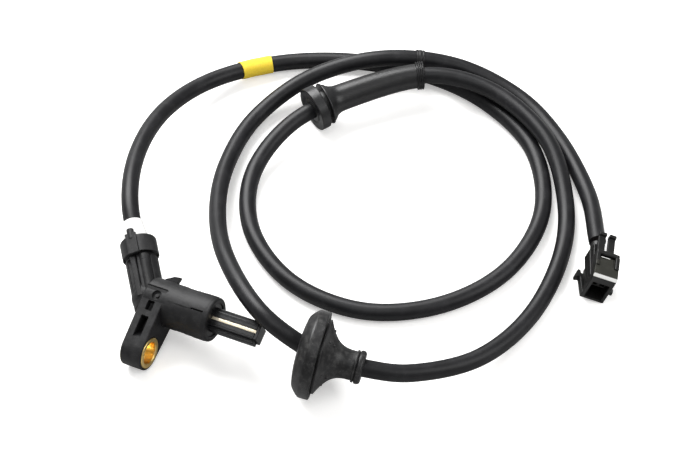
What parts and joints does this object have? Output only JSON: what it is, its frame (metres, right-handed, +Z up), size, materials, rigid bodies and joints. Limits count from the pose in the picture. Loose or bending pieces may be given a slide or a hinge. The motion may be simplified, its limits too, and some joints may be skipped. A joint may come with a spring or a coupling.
{
  "type": "abs wheel speed sensor",
  "caption": "Inductive wheel speed sensor: a barrel with a bushed mounting ear and a blade tip, on a looped lead with rubber grommets and a small plug.",
  "frame": {"origin": "on the bench, under the middle of the sensor's own box, its lead left out", "axes": "+X along the sensor's barrel towards the blade, +Z up from the bench, the lead's loops lie towards +Y"},
  "size_m": [0.2049, 0.2005, 0.0344],
  "materials": {
    "black_plastic": "moulded, satin",
    "lock_plastic": "moulded, satin olive grey",
    "sheath_rubber": "smooth, satin",
    "grommet_rubber": "moulded, dusty matt",
    "white_plastic": "moulded, matt",
    "yellow_tape": "woven tape, matt",
    "bush_brass": "turned, bright",
    "pole_steel": "plated, satin",
    "enamelled_wire": "enamelled copper wire",
    "magnet_iron": "sintered, plated",
    "pin_brass": "tinned",
    "core_sheath": "core insulation, smooth"
  },
  "bodies": {
    "root": {"sensor_housing": "black_plastic", "mount_bush": "bush_brass", "outlet_cap": "black_plastic", "cable_seal": "grommet_rubber", "coil_carrier": "black_plastic", "pole_plate": "pole_steel", "coil_winding": "enamelled_wire", "magnet": "magnet_iron", "contact_pin_1": "pin_brass", "lead_wire_1": "core_sheath", "terminal_1": "pin_brass", "terminal_wire_1": "core_sheath", "contact_pin_2": "pin_brass", "lead_wire_2": "core_sheath", "terminal_2": "pin_brass", "terminal_wire_2": "core_sheath", "cable": "sheath_rubber", "white_sleeve": "white_plastic", "yellow_marker": "yellow_tape", "cable_band": "sheath_rubber", "small_grommet": "grommet_rubber", "large_grommet": "grommet_rubber", "connector_housing": "black_plastic", "connector_lock": "lock_plastic"}
  },
  "joints": []
}
